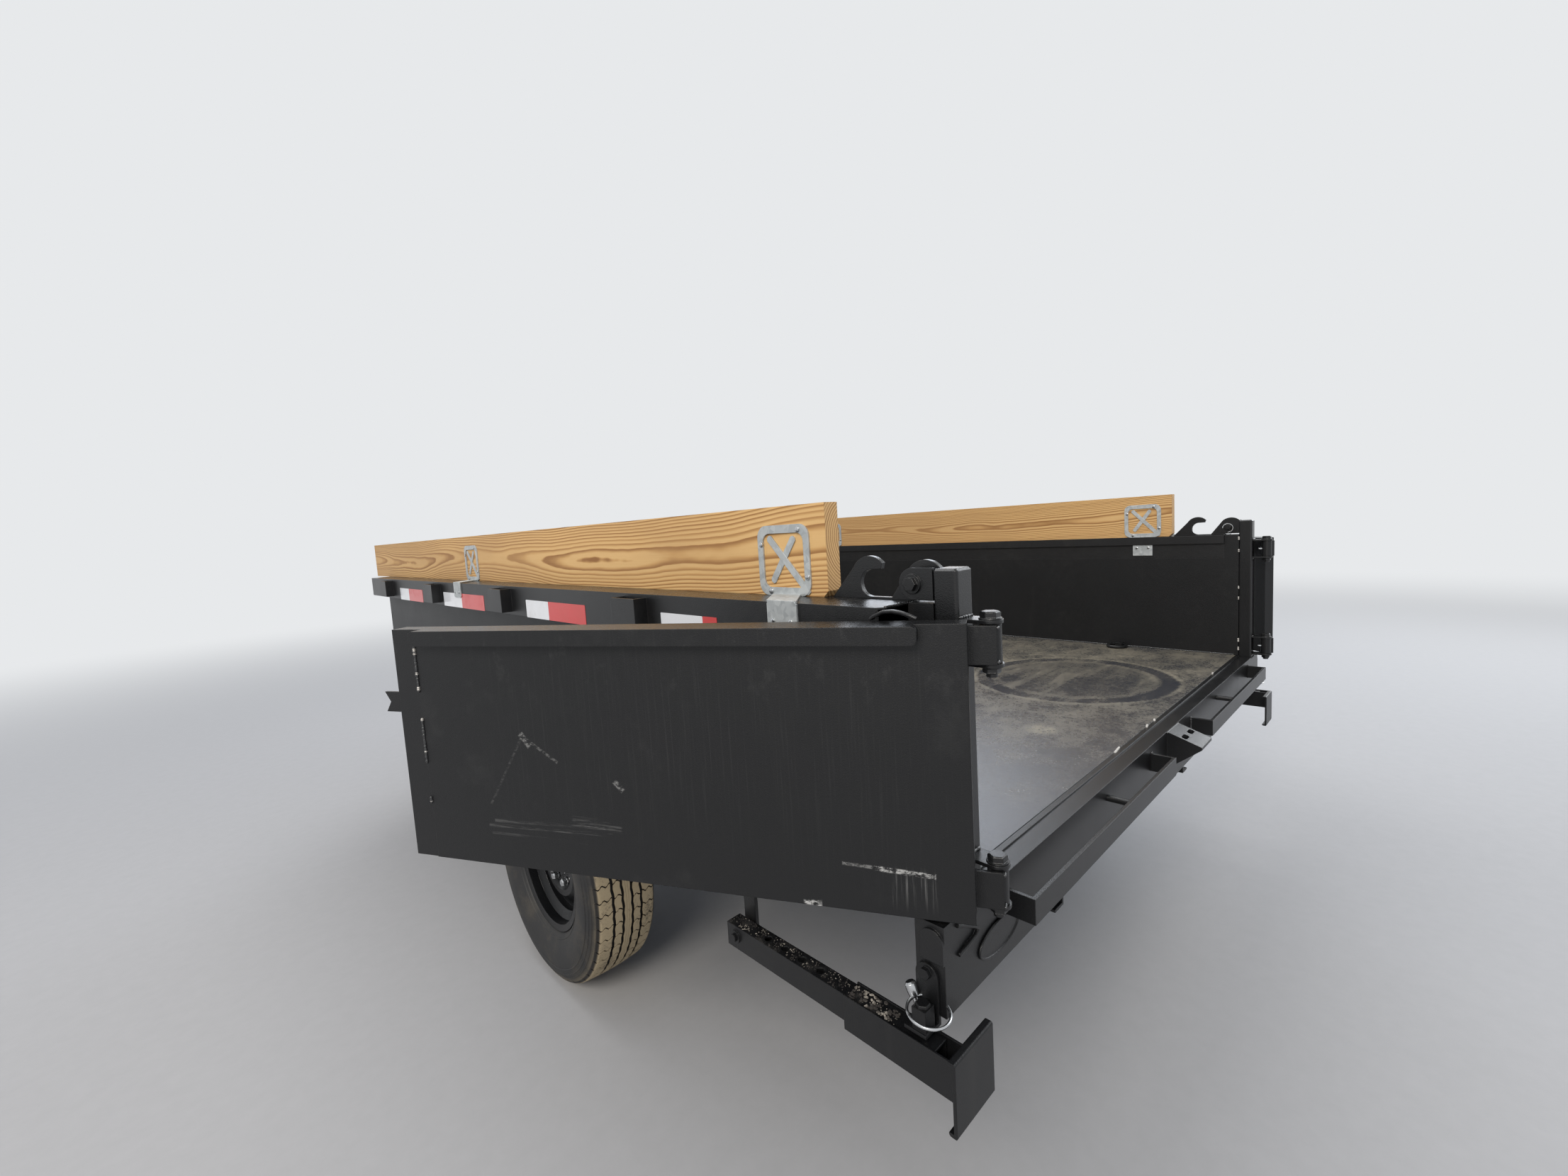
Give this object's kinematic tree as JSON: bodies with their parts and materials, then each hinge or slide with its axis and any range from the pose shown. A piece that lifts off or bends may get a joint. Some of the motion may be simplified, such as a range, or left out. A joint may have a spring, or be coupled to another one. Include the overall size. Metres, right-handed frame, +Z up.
{
  "type": "dump trailer",
  "caption": "Single-axle dump trailer with a tilting steel bed, barn doors at the rear, timber side boards, swing-down rear stands and an A-frame drawbar.",
  "frame": {"origin": "Centre of the hitch ball that the coupler closes over.", "axes": "+X is the trailer's right side, +Y points forward towards the drawbar, +Z is up. The ground is at z = -0.56 m."},
  "size_m": [3.6254, 5.133, 1.556],
  "materials": {
    "frame_paint": "satin black powder coat with dust",
    "floor_paint": "worn black paint with tan dust and tyre marks",
    "timber": "planed softwood with knots",
    "galvanised": "dull zinc",
    "tyre_rubber": "dusty rubber",
    "rim_paint": "gloss black",
    "hoist_paint": "gloss black",
    "rod_chrome": "polished",
    "jack_zinc": "zinc plate",
    "coupler_iron": "painted casting",
    "pump_steel": "plain paint"
  },
  "bodies": {
    "chassis": {"chassis_rails": "frame_paint", "chassis_crossmembers": "frame_paint", "tongue_rails": "frame_paint", "coupler": "coupler_iron", "jack_tube": "jack_zinc", "pump_box": "frame_paint", "power_unit": "pump_steel", "axle_beam": "frame_paint", "leaf_springs": "frame_paint"},
    "bed": {"bed_floor": "floor_paint", "side_sills": "frame_paint", "bed_crossmembers": "frame_paint", "bed_sills": "frame_paint", "hoist_lift_tube": "frame_paint", "rear_beam": "frame_paint", "ramp_bars": "frame_paint", "rear_posts": "frame_paint", "left_wall": "frame_paint", "right_wall": "frame_paint", "front_wall": "frame_paint", "left_top_rail": "frame_paint", "right_top_rail": "frame_paint", "hook_plates": "frame_paint", "left_board": "timber", "right_board": "timber", "board_brackets": "galvanised", "tie_down_rings": "frame_paint", "stand_hangers": "frame_paint"},
    "left_door": {"left_door": "frame_paint"},
    "right_door": {"right_door": "frame_paint"},
    "left_stand_arm": {"left_stand_arm": "frame_paint"},
    "left_stand_foot": {"left_stand_foot": "frame_paint"},
    "right_stand_arm": {"right_stand_arm": "frame_paint"},
    "right_stand_foot": {"right_stand_foot": "frame_paint"},
    "left_wheel": {"left_tyre": "tyre_rubber", "left_rim": "rim_paint"},
    "right_wheel": {"right_tyre": "tyre_rubber", "right_rim": "rim_paint"},
    "hoist_barrel": {"hoist_barrel": "hoist_paint"},
    "hoist_rod": {"hoist_rod": "rod_chrome"},
    "jack_leg": {"jack_leg": "jack_zinc"},
    "pump_box_lid": {"pump_box_lid": "frame_paint"}
  },
  "joints": [
    {"name": "bed_tilt", "type": "hinge", "parent": "chassis", "child": "bed", "pos_m": [0, -4.88, 0.06], "axis": [1, 0, 0], "range_deg": [0, 45]},
    {"name": "left_door_swing", "type": "hinge", "parent": "bed", "child": "left_door", "pos_m": [-1.143, -5.044, 0.55], "axis": [0, 0, 1], "range_deg": [0, 242]},
    {"name": "right_door_swing", "type": "hinge", "parent": "bed", "child": "right_door", "pos_m": [1.143, -5.044, 0.55], "axis": [0, 0, 1], "range_deg": [-232, 10]},
    {"name": "left_wheel_spin", "type": "hinge", "parent": "chassis", "child": "left_wheel", "pos_m": [-1.143, -3.4, -0.169], "axis": [1, 0, 0], "continuous": true},
    {"name": "right_wheel_spin", "type": "hinge", "parent": "chassis", "child": "right_wheel", "pos_m": [1.143, -3.4, -0.169], "axis": [1, 0, 0], "continuous": true},
    {"name": "left_stand_swing", "type": "hinge", "parent": "bed", "child": "left_stand_arm", "pos_m": [-1.27, -4.52, 0.1], "axis": [1, 0, 0], "range_deg": [0, 90]},
    {"name": "right_stand_swing", "type": "hinge", "parent": "bed", "child": "right_stand_arm", "pos_m": [1.27, -4.52, 0.1], "axis": [1, 0, 0], "range_deg": [0, 90]},
    {"name": "left_stand_extend", "type": "slide", "parent": "left_stand_arm", "child": "left_stand_foot", "axis": [0, -1, 0], "range_m": [0, 0.13]},
    {"name": "right_stand_extend", "type": "slide", "parent": "right_stand_arm", "child": "right_stand_foot", "axis": [0, -1, 0], "range_m": [0, 0.13]},
    {"name": "hoist_swing", "type": "hinge", "parent": "chassis", "child": "hoist_barrel", "pos_m": [0, -4.35, -0.06], "axis": [1, 0, 0], "range_deg": [0, 56.5]},
    {"name": "hoist_extend", "type": "slide", "parent": "hoist_barrel", "child": "hoist_rod", "axis": [0, 0.9864, 0.1644], "range_m": [0, 0.297]},
    {"name": "jack_extend", "type": "slide", "parent": "chassis", "child": "jack_leg", "axis": [0, 0, 1], "range_m": [0, 0.35]},
    {"name": "lid_swing", "type": "hinge", "parent": "chassis", "child": "pump_box_lid", "pos_m": [0, -1.264, 0.409], "axis": [1, 0, 0], "range_deg": [0, 85]}
  ],
  "couplings": [
    {"joint": "hoist_swing", "follows": "bed_tilt", "ratio": 1.2486},
    {"joint": "hoist_extend", "follows": "bed_tilt", "m_per_rad": 0.3774}
  ]
}
